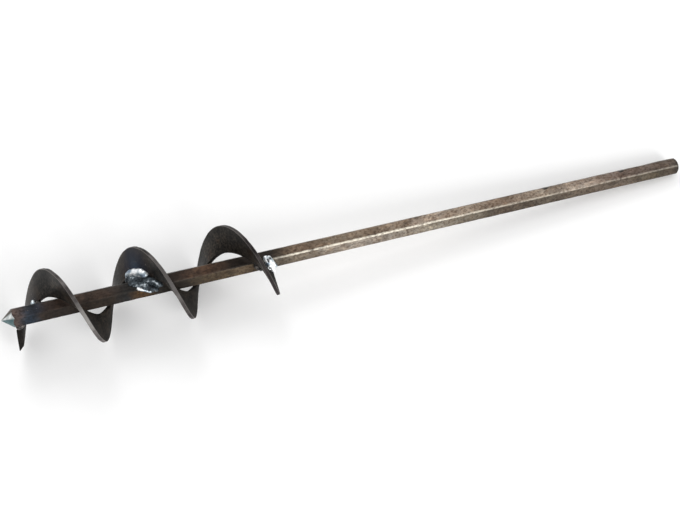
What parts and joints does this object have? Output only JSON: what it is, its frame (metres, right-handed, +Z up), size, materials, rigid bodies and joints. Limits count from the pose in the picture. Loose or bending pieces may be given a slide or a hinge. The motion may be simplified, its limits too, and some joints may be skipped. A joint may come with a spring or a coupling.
{
  "type": "soil auger",
  "caption": "Welded soil auger: a hexagon steel bar with a ground point and an open right-hand ribbon flight welded around its lower end.",
  "frame": {"origin": "bottom centre of the whole auger as it lies on a floor, resting on the flight's third turn and on the drive end's lower edge", "axes": "+X from the ground point to the drive end (the bar runs 3.3 degrees down from it), +Y level across the bar, +Z up"},
  "size_m": [0.6882, 0.0784, 0.0821],
  "materials": {
    "bar_steel": "raw drawn bar, lightly rusted, heat-tinted near the welds, ground bright at the point",
    "mill_scale_steel": "dark grey-brown mill scale, worn bright along the outer edge",
    "weld_metal": "as-welded, rippled, blue-grey with bright spots"
  },
  "bodies": {
    "root": {"hex_shaft": "bar_steel", "flight_ribbon": "mill_scale_steel", "lead_root_weld": "weld_metal", "lead_tack_weld": "weld_metal", "mid_weld_run": "weld_metal", "mid_weld_puddle": "weld_metal", "end_weld_outer": "weld_metal", "end_weld_inner": "weld_metal"}
  },
  "joints": []
}
